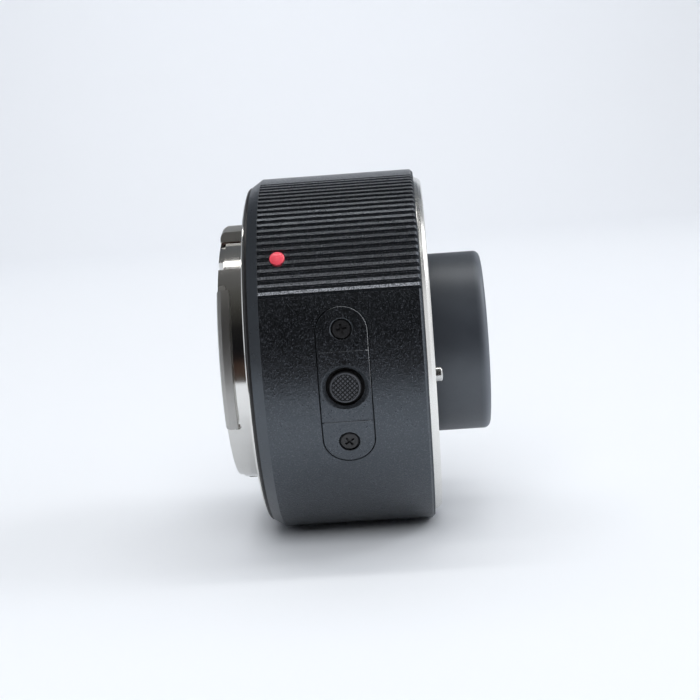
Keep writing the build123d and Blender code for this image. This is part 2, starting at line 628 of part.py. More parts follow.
with BuildPart() as lock_pin:
    y, z = yz(lock_r, mech_clock)
    with BuildSketch(Plane(origin=(0, y, z), x_dir=(1, 0, 0), z_dir=(0, 1, 0))) as pin_profile:
        with BuildLine():
            Polyline((pin_tip_x, 0), (26.0, 0), (26.0, pin_guide_r), (flange_to_flange, pin_guide_r),
                     (flange_to_flange, pin_r), (pin_tip_x - 0.5, pin_r))
            ThreePointArc((pin_tip_x - 0.5, pin_r), (pin_tip_x - 0.146, pin_r - 0.146),
                          (pin_tip_x, pin_r - 0.5))
            Line((pin_tip_x, pin_r - 0.5), (pin_tip_x, 0))
        make_face()
    revolve(pin_profile.sketch, axis=Axis((0, y, z), (1, 0, 0)))
    with BuildSketch(side_plane(1.6)) as slider:
        with BuildLine():
            Polyline((22.6, 28.6), (23.4, 28.6), (23.4, 31.2), (25.4, 31.2), (25.4, 28.6), (26.4, 28.6),
                     (26.4, 32.0), (22.6, 32.0), close=True)
        make_face()
    extrude(slider.sketch, amount=3.2)
save(lock_pin, "lock_pin")

# ================================================================ electronics
with BuildPart() as circuit_board:
    with BuildSketch(radial_plane(16.0, 180, 26.0)) as board:
        RectangleRounded(20.0, 15.0, 1.0)
        with Locations((-7.0, 0), (7.0, 0)):
            Circle(0.85, mode=Mode.SUBTRACT)
    extrude(board.sketch, amount=0.8)
save(circuit_board, "circuit_board")

with BuildPart() as board_components:
    with BuildSketch(radial_plane(16.0, 180, 26.8)) as chips:
        Rectangle(5.0, 5.0)
        with Locations((5.6, 4.6), (-5.6, -4.6)):
            Rectangle(3.2, 2.2)
    extrude(chips.sketch, amount=1.0)
    with BuildSketch(radial_plane(16.0, 180, 26.8)) as socket:
        with Locations((0, 5.6)):
            Rectangle(6.4, 2.2)
    extrude(socket.sketch, amount=1.3)
save(board_components, "board_components")

with BuildPart() as board_screws:
    for x in (9.0, 23.0):
        head = radial_plane(x, 180, 27.4)
        screw_at(head, 1.4, 0.8, 0.6, 2.8, flat_head=False)
save(board_screws, "board_screws")

with BuildPart() as flex_circuit:
    # thin arc strip along the bottom, then round to the board on the far side
    sector(4.4, 24.4, 25.8, 26.0, contact_mid - 13, contact_mid + 13)
    sector(12.0, 20.0, 25.8, 26.0, 180 + 20, 270 - 12.9)
    sector(2.2, 4.6, 25.8, 26.0, contact_mid - 12, contact_mid + 12)
save(flex_circuit, "flex_circuit")

# ================================================================ optics
def sag(radius, h):
    """Depth of an arc at height h; the sign follows the radius, + bulges toward +X."""
    return (abs(radius) - sqrt(radius * radius - h * h)) * (1 if radius > 0 else -1)


def face_x(centre, radius, h):
    return centre - sag(radius, h)


# each lens: rim radius, rear face centre and radius, front face centre and radius
glasses = {
    "lens_element_1": (15.35, 42.6, 45.0, 45.4, 90.0),
    "lens_element_2": (15.3, 34.4, -60.0, 39.4, 60.0),
    "lens_element_3": (15.3, 32.0, 180.0, 34.4, -60.0),
    "lens_element_4": (16.9, 12.4, -80.0, 17.0, 80.0),
    "lens_element_5": (16.9, 10.0, 120.0, 12.4, -80.0),
    "lens_element_6": (16.9, 4.6, 200.0, 8.6, 70.0),
}
for label, (r, x0, r0, x1, r1) in glasses.items():
    with BuildPart() as glass:
        with BuildSketch(Plane.XY) as section:
            with BuildLine():
                Line((x0, 0), (x1, 0))
                ThreePointArc((x1, 0), (face_x(x1, r1, r * 0.6), r * 0.6), (face_x(x1, r1, r), r))
                Line((face_x(x1, r1, r), r), (face_x(x0, r0, r), r))
                ThreePointArc((face_x(x0, r0, r), r), (face_x(x0, r0, r * 0.6), r * 0.6), (x0, 0))
            make_face()
        revolve(section.sketch, axis=Axis.X)
    save(glass, label)

nose_shoulder = face_x(32.0, 180.0, 15.3)
ring_seat = face_x(45.4, 90.0, 14.4)
cell_seat = face_x(17.0, 80.0, 15.9)
rear_rim = face_x(4.6, 200.0, 16.9)

with BuildPart() as nose_barrel:
    with BuildSketch(Plane.XY) as nose:
        with BuildLine():
            Polyline((22.4, 16.6), (22.4, 21.6), (24.0, 21.6), (24.0, nose_r),
                     (nose_front_x - nose_round, nose_r))
            ThreePointArc((nose_front_x - nose_round, nose_r),
                          (nose_front_x - nose_round * (1 - sqrt(0.5)), nose_r - nose_round * (1 - sqrt(0.5))),
                          (nose_front_x, nose_r - nose_round))
            Polyline((nose_front_x, nose_r - nose_round), (nose_front_x, 17.1), (46.7, 16.4), (ring_seat, 16.4),
                     (ring_seat, nose_bore_r), (nose_shoulder, nose_bore_r), (nose_shoulder, 13.8),
                     (30.0, 13.8), (30.0, 16.6), (22.4, 16.6))
        make_face()
    revolve(nose.sketch, axis=Axis.X)
    for clock in (30, 150, 210, 330):
        round_bar(22, 24.5, 20.3, clock, 0.75, mode=Mode.SUBTRACT)
save(nose_barrel, "nose_barrel")

with BuildPart() as nose_screws:
    for clock in (30, 150, 210, 330):
        axial_screw(21.8, 1, 20.3, clock, 1.25, 0.7, 0.6, 4.2, flat_head=False)
save(nose_screws, "nose_screws")

with BuildPart() as front_retaining_ring:
    turned([(ring_seat, 14.4), (ring_seat, 16.4), (46.3, 16.4), (46.3, 15.9), (45.5, 14.4)])
    for clock in (90, 270):
        round_bar(45.7, 47, 15.75, clock, 0.55, mode=Mode.SUBTRACT)
save(front_retaining_ring, "front_retaining_ring")

with BuildPart() as front_spacer:
    bar(face_x(39.4, 60.0, 14.2), face_x(42.6, 45.0, 15.3), 14.2, 15.3)
save(front_spacer, "front_spacer")

with BuildPart() as flare_stop:
    turned([(28.6, 11.6), (28.6, 16.5), (30.0, 16.5), (30.0, 15.4), (29.2, 15.2), (29.0, 11.6)])
save(flare_stop, "flare_stop")

with BuildPart() as rear_lens_cell:
    turned([(2.3, 17.0), (2.3, 20.6), (5.0, 20.6), (5.0, 21.6), (17.6, 21.6), (17.6, 15.9),
            (cell_seat, 15.9), (cell_seat, 17.0)])
save(rear_lens_cell, "rear_lens_cell")

with BuildPart() as rear_spacer:
    bar(face_x(8.6, 70.0, 15.9), face_x(10.0, 120.0, 16.9), 15.9, 16.9)
save(rear_spacer, "rear_spacer")

with BuildPart() as rear_retaining_ring:
    turned([(2.3, 16.4), (2.3, 17.0), (rear_rim, 17.0), (rear_rim, 15.7), (2.9, 15.7)])
    for clock in (0, 180):
        round_bar(2.0, 3.2, 16.4, clock, 0.5, mode=Mode.SUBTRACT)
save(rear_retaining_ring, "rear_retaining_ring")
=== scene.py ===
import bpy, bmesh, math
from math import radians, sin, cos, pi, sqrt
from mathutils import Vector, Matrix

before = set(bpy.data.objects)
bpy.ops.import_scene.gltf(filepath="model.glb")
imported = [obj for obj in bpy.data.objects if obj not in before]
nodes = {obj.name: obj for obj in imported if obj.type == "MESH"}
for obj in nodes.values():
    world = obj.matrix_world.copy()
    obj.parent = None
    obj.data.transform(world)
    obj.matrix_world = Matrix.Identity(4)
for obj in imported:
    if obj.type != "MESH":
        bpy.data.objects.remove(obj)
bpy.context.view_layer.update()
scene = bpy.context.scene
MM = 0.001
MECH = -4.8                     # clock angle of the release mechanism, degrees
BUTTON_TOP = 36.75 * MM          # its crown above the optical axis
BARREL_R = 36.65 * MM

# ------------------------------------------------------------------ camera
yaw, roll, dist = radians(2.069), radians(3.879), 314.576 * MM
tilt = radians(7.0)             # the camera looks down on the table
cx, cz = 0.974 * MM, 0.535 * MM
ea = Vector((cos(roll) * cos(yaw), -cos(roll) * sin(yaw), sin(roll)))
en = Vector((0, -1, 0))
en = (en - ea * en.dot(ea)).normalized()
et = -ea.cross(en)
y_row = -(en * cos(tilt) - et * sin(tilt))
z_row = en * sin(tilt) + et * cos(tilt)
M = Matrix((ea, y_row, z_row))          # rows: row axes seen from the camera
C = Vector((cx, dist, cz))
cam_pos = Vector((19.9 * MM, 0, 0)) - M @ C
right, forward, up = M @ Vector((1, 0, 0)), M @ Vector((0, 1, 0)), M @ Vector((0, 0, 1))
cam_data = bpy.data.cameras.new("camera")
cam_data.sensor_width = 36.0
cam_data.sensor_fit = "HORIZONTAL"
cam_data.lens = 4.717 * 314.576 * 36.0 / 700.0
cam_data.clip_start = 0.01
cam_data.clip_end = 50
camera = bpy.data.objects.new("camera", cam_data)
scene.collection.objects.link(camera)
camera.matrix_world = Matrix((
    (right.x, up.x, -forward.x, cam_pos.x),
    (right.y, up.y, -forward.y, cam_pos.y),
    (right.z, up.z, -forward.z, cam_pos.z),
    (0, 0, 0, 1)))
scene.camera = camera

# ------------------------------------------------------------------ floor, world, lights
FLOOR = -36.66 * MM


def link(obj):
    scene.collection.objects.link(obj)
    return obj


def sweep_backdrop():
    """Pale sheet that hangs over the table's front edge and curves up into a backdrop far behind."""
    bm = bmesh.new()
    edge, lip = -0.127, 0.012
    prof = [(edge - lip, FLOOR - 0.40)]
    for k in range(0, 9):
        a = k / 8 * pi / 2
        prof.append((edge - lip * cos(a), FLOOR - lip * (1 - sin(a))))
    prof.append((1.2, FLOOR))
    r = 0.6
    for k in range(1, 25):
        a = k / 24 * pi / 2
        prof.append((1.2 + r * sin(a), FLOOR + r * (1 - cos(a))))
    prof.append((1.2 + r, FLOOR + 0.80))
    rows = []
    for y, z in prof:
        rows.append([bm.verts.new((x, y, z)) for x in (-4.0, 4.0)])
    for a, b in zip(rows, rows[1:]):
        bm.faces.new((a[0], a[1], b[1], b[0]))
    for f in bm.faces:
        f.smooth = True
    me = bpy.data.meshes.new("floor")
    bm.normal_update()
    bm.to_mesh(me)
    bm.free()
    return link(bpy.data.objects.new("floor", me))


floor = sweep_backdrop()

# The room: bright above and behind, dark in front at eye level, as a studio seen in polished metal.
world = bpy.data.worlds.new("studio")
scene.world = world
world.use_nodes = True
wn = world.node_tree
wn.nodes.clear()
w_out = wn.nodes.new("ShaderNodeOutputWorld")
w_bg = wn.nodes.new("ShaderNodeBackground")
w_co = wn.nodes.new("ShaderNodeTexCoord")
w_sep = wn.nodes.new("ShaderNodeSeparateXYZ")
wn.links.new(w_co.outputs["Generated"], w_sep.inputs[0])


def sky_ramp(source, stops):
    r = wn.nodes.new("ShaderNodeValToRGB")
    el = r.color_ramp.elements
    while len(el) > 1:
        el.remove(el[-1])
    el[0].position, el[0].color = stops[0][0], (*stops[0][1], 1)
    for p, c in stops[1:]:
        el.new(p).color = (*c, 1)
    m = wn.nodes.new("ShaderNodeMapRange")
    m.inputs["From Min"].default_value = -1.0
    m.inputs["From Max"].default_value = 1.0
    wn.links.new(source, m.inputs["Value"])
    wn.links.new(m.outputs[0], r.inputs[0])
    return r.outputs[0]


front_sky = sky_ramp(w_sep.outputs[2], [
    (0.00, (0.16, 0.16, 0.165)), (0.30, (0.10, 0.095, 0.09)), (0.42, (0.060, 0.040, 0.032)), (0.495, (0.045, 0.028, 0.022)),
    (0.53, (0.014, 0.011, 0.011)), (0.60, (0.008, 0.008, 0.009)), (0.76, (0.013, 0.013, 0.013)),
    (0.88, (0.045, 0.044, 0.040)), (0.96, (0.085, 0.085, 0.080)), (1.00, (0.12, 0.12, 0.12))])
back_sky = sky_ramp(w_sep.outputs[2], [
    (0.00, (0.80, 0.82, 0.86)), (0.50, (0.80, 0.84, 0.90)), (0.62, (0.62, 0.66, 0.72)),
    (0.72, (0.16, 0.18, 0.21)), (0.86, (0.11, 0.12, 0.13)), (1.00, (0.12, 0.12, 0.12))])
side_sky = sky_ramp(w_sep.outputs[2], [
    (0.00, (0.80, 0.82, 0.85)), (0.50, (0.90, 0.92, 0.96)), (0.76, (0.95, 0.97, 1.0)),
    (0.86, (0.34, 0.35, 0.37)), (1.00, (0.14, 0.14, 0.14))])


def wave(source, lo, hi):
    m = wn.nodes.new("ShaderNodeMapRange")
    m.interpolation_type = "SMOOTHSTEP"
    m.inputs["From Min"].default_value = lo
    m.inputs["From Max"].default_value = hi
    wn.links.new(source, m.inputs["Value"])
    return m.outputs[0]


def w_math(op, a, b=None):
    m = wn.nodes.new("ShaderNodeMath")
    m.operation = op
    wn.links.new(a, m.inputs[0])
    if b is not None:
        if isinstance(b, float):
            m.inputs[1].default_value = b
        else:
            wn.links.new(b, m.inputs[1])
    return m.outputs[0]


def w_blend(fac, a, b):
    m = wn.nodes.new("ShaderNodeMix")
    m.data_type = "RGBA"
    wn.links.new(fac, m.inputs[0])
    wn.links.new(a, m.inputs[6])
    wn.links.new(b, m.inputs[7])
    return m.outputs[2]


right_side = wave(w_sep.outputs[0], 0.44, 0.80)
left_side = w_math("MULTIPLY", wave(w_math("MULTIPLY", w_sep.outputs[0], -1.0), 0.50, 0.90), 0.26)
room = w_blend(wave(w_sep.outputs[1], -0.35, 0.25), front_sky, back_sky)
room = w_blend(w_math("MAXIMUM", right_side, left_side), room, side_sky)
wn.links.new(room, w_bg.inputs["Color"])
w_bg.inputs["Strength"].default_value = 1.0
wn.links.new(w_bg.outputs[0], w_out.inputs[0])
scene.view_settings.view_transform = "Standard"


def area(name, loc, target, size, energy, color=(1, 1, 1), size_y=None, mirrored=True):
    d = bpy.data.lights.new(name, "AREA")
    d.energy = energy
    d.color = color
    d.shape = "RECTANGLE"
    d.size = size
    d.size_y = size_y or size
    o = link(bpy.data.objects.new(name, d))
    o.location = loc
    o.rotation_euler = (Vector(target) - Vector(loc)).to_track_quat("-Z", "Y").to_euler()
    o.visible_glossy = mirrored
    return o


area("key_strip", (0.02, 0.16, 0.85), (0.02, 0, 0), 0.9, 1.9, (1.0, 0.99, 0.97), 0.075)
area("right_bank", (1.0, 0.15, 0.85), (0.0, 0.05, 0), 0.5, 2.6, (0.97, 0.985, 1.0))
# Soft fill for the matt surfaces: too wide and weak to show as a reflection.
area("fill_top", (0.0, 0.10, 1.10), (0.0, 0.10, 0), 1.3, 3.6, (0.97, 0.985, 1.0), mirrored=False)
area("fill_front", (0.0, -0.75, 0.70), (0.0, 0.0, -0.03), 0.7, 5.4, (0.98, 0.99, 1.0), mirrored=False)
area("back_wash", (-0.1, 1.10, 1.30), (-0.1, 1.9, 0.20), 1.4, 13.0, (0.97, 0.98, 1.0), mirrored=False)

floor_mat = bpy.data.materials.new("studio_white")
floor_mat.use_nodes = True
floor_bsdf = floor_mat.node_tree.nodes["Principled BSDF"]
floor_bsdf.inputs["Base Color"].default_value = (0.875, 0.90, 0.94, 1)
floor_bsdf.inputs["Roughness"].default_value = 0.7
floor_bsdf.inputs["Specular IOR Level"].default_value = 0.2
floor.data.materials.append(floor_mat)

# ------------------------------------------------------------------ material helpers


class Tree:
    def __init__(self, name):
        self.mat = bpy.data.materials.new(name)
        self.mat.use_nodes = True
        self.nt = self.mat.node_tree
        self.nt.nodes.clear()
        self.out = self.nt.nodes.new("ShaderNodeOutputMaterial")
        self.bsdf = self.nt.nodes.new("ShaderNodeBsdfPrincipled")
        self.nt.links.new(self.bsdf.outputs[0], self.out.inputs[0])
        self._obj = None

    def new(self, kind, **inputs):
        n = self.nt.nodes.new(kind)
        for k, v in inputs.items():
            n.inputs[k.replace("_", " ")].default_value = v
        return n

    def link(self, a, b):
        self.nt.links.new(a, b)

    def set(self, **kw):
        for k, v in kw.items():
            self.bsdf.inputs[k.replace("_", " ")].default_value = v

    def coords(self):
        if self._obj is None:
            self._obj = self.nt.nodes.new("ShaderNodeTexCoord").outputs["Object"]
        return self._obj

    def noise(self, scale, detail=2.0, rough=0.5, vector=None):
        n = self.nt.nodes.new("ShaderNodeTexNoise")
        n.inputs["Scale"].default_value = scale
        n.inputs["Detail"].default_value = detail
        n.inputs["Roughness"].default_value = rough
        self.link(vector or self.coords(), n.inputs["Vector"])
        return n.outputs["Fac"]

    def stretch(self, sx, sy, sz):
        m = self.nt.nodes.new("ShaderNodeMapping")
        m.inputs["Scale"].default_value = (sx, sy, sz)
        self.link(self.coords(), m.inputs["Vector"])
        return m.outputs["Vector"]

    def polar(self, k_axial, k_radial, k_angle):
        """Coordinates along the axis, the radius and the angle round the optical axis."""
        sep = self.nt.nodes.new("ShaderNodeSeparateXYZ")
        self.link(self.coords(), sep.inputs[0])
        ang = self.math("ARCTAN2", sep.outputs[2], sep.outputs[1])
        y2 = self.math("MULTIPLY", sep.outputs[1], sep.outputs[1])
        z2 = self.math("MULTIPLY", sep.outputs[2], sep.outputs[2])
        rad = self.math("SQRT", self.math("ADD", y2, z2))
        comb = self.nt.nodes.new("ShaderNodeCombineXYZ")
        self.link(self.math("MULTIPLY", sep.outputs[0], k_axial), comb.inputs[0])
        self.link(self.math("MULTIPLY", rad, k_radial), comb.inputs[1])
        self.link(self.math("MULTIPLY", ang, k_angle), comb.inputs[2])
        return comb.outputs[0]

    def math(self, op, a, b=None, clamp=False):
        n = self.nt.nodes.new("ShaderNodeMath")
        n.operation = op
        n.use_clamp = clamp
        for k, v in enumerate((a, b)):
            if v is None:
                continue
            if isinstance(v, (int, float)):
                n.inputs[k].default_value = v
            else:
                self.link(v, n.inputs[k])
        return n.outputs[0]

    def ramp(self, fac, stops):
        n = self.nt.nodes.new("ShaderNodeValToRGB")
        el = n.color_ramp.elements
        while len(el) > 1:
            el.remove(el[-1])
        el[0].position, el[0].color = stops[0]
        for p, c in stops[1:]:
            e = el.new(p)
            e.color = c
        self.link(fac, n.inputs[0])
        return n.outputs[0]

    def span(self, fac, lo, hi, a=0.0, b=1.0):
        n = self.nt.nodes.new("ShaderNodeMapRange")
        n.inputs["From Min"].default_value = a
        n.inputs["From Max"].default_value = b
        n.inputs["To Min"].default_value = lo
        n.inputs["To Max"].default_value = hi
        self.link(fac, n.inputs["Value"])
        return n.outputs[0]

    def rough(self, fac, lo, hi, a=0.3, b=0.7):
        self.link(self.span(fac, lo, hi, a, b), self.bsdf.inputs["Roughness"])

    def color(self, fac, dark, light, a=0.3, b=0.7):
        n = self.ramp(fac, [(a, (*dark, 1)), (b, (*light, 1))])
        self.link(n, self.bsdf.inputs["Base Color"])

    def bump(self, height, distance, strength=1.0, under=None):
        n = self.nt.nodes.new("ShaderNodeBump")
        n.inputs["Distance"].default_value = distance
        n.inputs["Strength"].default_value = strength
        self.link(height, n.inputs["Height"])
        if under is not None:
            self.link(under, n.inputs["Normal"])
        self.link(n.outputs[0], self.bsdf.inputs["Normal"])
        return n.outputs[0]


cover_xs = [v.co.x for v in nodes["release_cover"].data.vertices]
COVER_X = (min(cover_xs) + max(cover_xs)) / 2


def mat_textured_black(name, highlight_strength, metal, dull, bright, cover=False):
    """Matt wrinkle coating with scattered grains, a painted highlight along its edges and rib crests, and painted
    shade in the cover's pocket and on the cover's unlit rims; the rear bevel is smooth.
    """
    t = Tree(name)
    grain = t.noise(2900, 2.0, 0.6)
    fine = t.noise(3600, 2.0, 0.6)
    clump = t.noise(420, 2.0, 0.5)
    sep = t.nt.nodes.new("ShaderNodeSeparateXYZ")
    t.link(t.coords(), sep.inputs[0])
    mask = t.span(sep.outputs[0], 0.0, 1.0, 3.3 * MM, 3.6 * MM)
    speck = t.math("MULTIPLY", t.span(fine, 0.0, 1.0, 0.53, 0.68), mask)
    t.color(speck, (0.0008, 0.0009, 0.0012), (0.050, 0.053, 0.061), 0.08, 0.98)
    peaks = t.math("MULTIPLY", t.span(grain, 0.0, 1.0, 0.50, 0.72), 0.60)
    both = t.math("ADD", t.math("MULTIPLY", grain, 0.25), t.math("ADD", peaks, t.math("MULTIPLY", fine, 0.15)))
    h = t.math("MULTIPLY", both, mask)
    round_normal = t.nt.nodes.new("ShaderNodeBevel")
    round_normal.samples = 6
    round_normal.inputs["Radius"].default_value = (0.24 if cover else 0.15) * MM
    true_normal = t.nt.nodes.new("ShaderNodeNewGeometry").outputs["True Normal"]
    dot = t.nt.nodes.new("ShaderNodeVectorMath")
    dot.operation = "DOT_PRODUCT"
    t.link(round_normal.outputs[0], dot.inputs[0])
    t.link(true_normal, dot.inputs[1])
    # painted highlight: edges found by the bevel normal get a paler, partly metallic colour
    painted_edge_highlight = t.math("MULTIPLY", t.span(dot.outputs["Value"], 1.0, 0.0, 0.80, 0.97), t.math("MULTIPLY", mask, highlight_strength))
    painted_light_tone = t.ramp(fine, [(0.40, (*dull, 1)), (0.64, (*bright, 1))])
    # place on the cover: across it, and along the barrel's circumference
    across = t.math("SUBTRACT", sep.outputs[0], COVER_X)
    around = t.math("ADD", t.math("MULTIPLY", sep.outputs[1], sin(radians(MECH))),
                    t.math("MULTIPLY", sep.outputs[2], cos(radians(MECH))))
    wide, long = t.math("ABSOLUTE", across), t.math("ABSOLUTE", around)
    # painted highlight on the cover's top and right-hand rims, painted shade on its other rims
    if cover:
        past = t.math("MAXIMUM", t.math("SUBTRACT", long, 10.0 * MM), 0.0)
        reach = t.math("SQRT", t.math("ADD", t.math("MULTIPLY", past, past), t.math("MULTIPLY", across, across)))
        rim = t.span(reach, 0.0, 1.0, 4.20 * MM, 4.45 * MM)
        top = t.math("MULTIPLY", t.span(around, 0.0, 1.0, 12.0 * MM, 13.5 * MM), t.span(across, 0.0, 1.0, -2.5 * MM, -0.5 * MM))
        side = t.math("MULTIPLY", t.span(across, 0.0, 1.0, 2.5 * MM, 4.0 * MM), t.span(around, 0.0, 1.0, -3.0 * MM, 6.0 * MM))
        lit = t.math("MAXIMUM", top, side)
        shade = t.math("MULTIPLY", rim, t.math("SUBTRACT", 1.0, lit))
        painted_edge_highlight = t.math("MULTIPLY", painted_edge_highlight, t.span(rim, 0.12, 1.0))
        highlight_zone = t.math("MULTIPLY", rim, lit)
    else:
        # painted shade in the pocket round the release cover
        pocket = t.math("MULTIPLY", t.span(wide, 1.0, 0.0, 5.5 * MM, 5.7 * MM), t.span(long, 1.0, 0.0, 15.6 * MM, 15.9 * MM))
        shade = t.math("MULTIPLY", pocket, t.span(sep.outputs[1], 1.0, 0.0, -0.2 * MM, 0.2 * MM))
        highlight_zone = t.math("SUBTRACT", 1.0, shade)
        # painted highlight: the lowest and the topmost crests are made palest, as if catching the light from above
        height = t.ramp(t.span(sep.outputs[2], 0.0, 1.0, 0.0, BARREL_R), [
            (0.0, (0, 0, 0, 1)), (0.401, (0, 0, 0, 1)), (0.409, (1, 1, 1, 1)), (0.52, (0.75, 0.75, 0.75, 1)),
            (0.62, (0.15, 0.15, 0.15, 1)), (0.85, (0.15, 0.15, 0.15, 1)), (0.95, (0.9, 0.9, 0.9, 1))])
        pale = t.nt.nodes.new("ShaderNodeMix")
        pale.data_type = "RGBA"
        t.link(height, pale.inputs[0])
        t.link(painted_light_tone, pale.inputs[6])
        t.link(t.ramp(fine, [(0.40, (0.10, 0.105, 0.115, 1)), (0.62, (0.50, 0.52, 0.55, 1))]), pale.inputs[7])
        painted_light_tone = pale.outputs[2]
    t.link(t.math("MULTIPLY", painted_edge_highlight, t.math("MULTIPLY", highlight_zone, metal)), t.bsdf.inputs["Metallic"])
    # painted shade: where the shade mask is set, the colour is mixed to near black
    dark = t.nt.nodes.new("ShaderNodeMix")
    dark.data_type = "RGBA"
    dark.inputs[7].default_value = (0.0010, 0.0010, 0.0012, 1)
    t.link(shade, dark.inputs[0])
    t.link(painted_light_tone, dark.inputs[6])
    painted_light_tone = dark.outputs[2]
    tone = t.nt.nodes.new("ShaderNodeMix")
    tone.data_type = "RGBA"
    t.link(painted_edge_highlight, tone.inputs[0])
    t.link(t.bsdf.inputs["Base Color"].links[0].from_socket, tone.inputs[6])
    t.link(painted_light_tone, tone.inputs[7])
    # painted highlight on the rib crests, palest on the lowest one; the grooves between the ribs keep the plain
    # coating colour and are made rougher
    y2 = t.math("MULTIPLY", sep.outputs[1], sep.outputs[1])
    z2 = t.math("MULTIPLY", sep.outputs[2], sep.outputs[2])
    radius = t.math("SQRT", t.math("ADD", y2, z2))
    if cover:
        t.link(tone.outputs[2], t.bsdf.inputs["Base Color"])
    else:
        crown = t.math("MULTIPLY", t.span(radius, 0.0, 1.0, BARREL_R - 0.12 * MM, BARREL_R - 0.03 * MM), t.math("MULTIPLY", height, mask))
        crown = t.math("MULTIPLY", crown, t.span(fine, 0.15, 1.0, 0.40, 0.60))
        last = t.span(sep.outputs[2], 0.46, 0.15, 15.9 * MM, 17.0 * MM)
        pale_tone = t.nt.nodes.new("ShaderNodeCombineColor")
        t.link(last, pale_tone.inputs[0])
        t.link(t.math("MULTIPLY", last, 1.04), pale_tone.inputs[1])
        t.link(t.math("MULTIPLY", last, 1.12), pale_tone.inputs[2])
        crest = t.nt.nodes.new("ShaderNodeMix")
        crest.data_type = "RGBA"
        t.link(crown, crest.inputs[0])
        t.link(tone.outputs[2], crest.inputs[6])
        t.link(pale_tone.outputs[0], crest.inputs[7])
        t.link(crest.outputs[2], t.bsdf.inputs["Base Color"])
    proud = t.span(radius, 0.0, 1.0, BARREL_R - 0.40 * MM, BARREL_R - 0.20 * MM)
    level = t.math("MAXIMUM", proud, t.math("SUBTRACT", 1.0, mask))
    shine = t.span(grain, 0.36, 0.28, 0.40, 0.66)
    deep = t.math("MAXIMUM", t.span(level, 0.42, 0.0), t.math("MULTIPLY", t.math("MULTIPLY", shade, painted_edge_highlight), 0.55))
    matt = t.math("ADD", t.span(clump, -0.03, 0.03, 0.3, 0.7), deep)
    t.link(t.math("ADD", shine, matt), t.bsdf.inputs["Roughness"])
    t.bump(h, 0.060 * MM, 1.0)
    t.set(Specular_IOR_Level=0.80, IOR=1.72, Specular_Tint=(0.80, 0.89, 1.0, 1))
    return t.mat


def mat_button():
    """Anodised button with painted shade: the colour darkens with depth, so the knurled crown is lighter and its
    grooves and the flange below are dark.
    """
    t = Tree("button_anodised")
    sep = t.nt.nodes.new("ShaderNodeSeparateXYZ")
    t.link(t.coords(), sep.inputs[0])
    along = t.math("ADD", t.math("MULTIPLY", sep.outputs[1], -cos(radians(MECH))),
                   t.math("MULTIPLY", sep.outputs[2], sin(radians(MECH))))
    level = t.span(along, 0.0, 1.0, BUTTON_TOP - 0.55 * MM, BUTTON_TOP)
    g = t.noise(2400, 2.0, 0.6)
    # painted shade: darker the deeper below the crown
    t.link(t.ramp(level, [(0.0, (0.002, 0.002, 0.0025, 1)), (0.45, (0.006, 0.006, 0.007, 1)),
                          (0.70, (0.026, 0.028, 0.033, 1)), (0.97, (0.066, 0.071, 0.082, 1))]), t.bsdf.inputs["Base Color"])
    t.link(t.math("ADD", t.span(g, 0.30, 0.40, 0.3, 0.7), t.span(level, 0.45, 0.0, 0.35, 0.9)), t.bsdf.inputs["Roughness"])
    t.set(Specular_IOR_Level=0.6, IOR=1.6)
    t.bump(g, 0.006 * MM, 0.5)
    return t.mat


def mat_satin(name, dark, light, lo, hi, metallic=0.0, grain=2600, depth=0.006, ior=1.5):
    t = Tree(name)
    g = t.noise(grain, 3.0, 0.6)
    big = t.noise(180, 2.0, 0.5)
    t.color(big, dark, light)
    t.rough(g, lo, hi)
    t.set(Metallic=metallic, IOR=ior)
    t.bump(g, depth * MM, 0.5)
    return t.mat


def mat_nose():
    """Satin anodised nose; a painted highlight makes the turned edge at its end paler."""
    t = Tree("satin_anodised")
    sep = t.nt.nodes.new("ShaderNodeSeparateXYZ")
    t.link(t.coords(), sep.inputs[0])
    big = t.noise(180, 2.0, 0.5)
    g = t.noise(2600, 3.0, 0.6)
    # painted highlight on the end edge
    end = t.span(sep.outputs[0], 0.0, 1.0, 45.3 * MM, 46.7 * MM)
    tone = t.math("ADD", t.span(big, 0.0, 0.12, 0.3, 0.7), t.math("MULTIPLY", end, 0.80))
    t.color(tone, (0.022, 0.0265, 0.0355), (0.105, 0.117, 0.140), 0.0, 1.0)
    t.rough(g, 0.44, 0.52)
    t.set(IOR=2.0, Specular_Tint=(0.90, 0.95, 1.0, 1))
    t.bump(g, 0.006 * MM, 0.5)
    return t.mat


def mat_rubber():
    t = Tree("seal_rubber")
    g = t.noise(1800, 3.0, 0.6)
    t.color(g, (0.008, 0.008, 0.009), (0.018, 0.018, 0.019))
    t.rough(g, 0.36, 0.52)
    t.bump(g, 0.01 * MM, 0.5)
    return t.mat


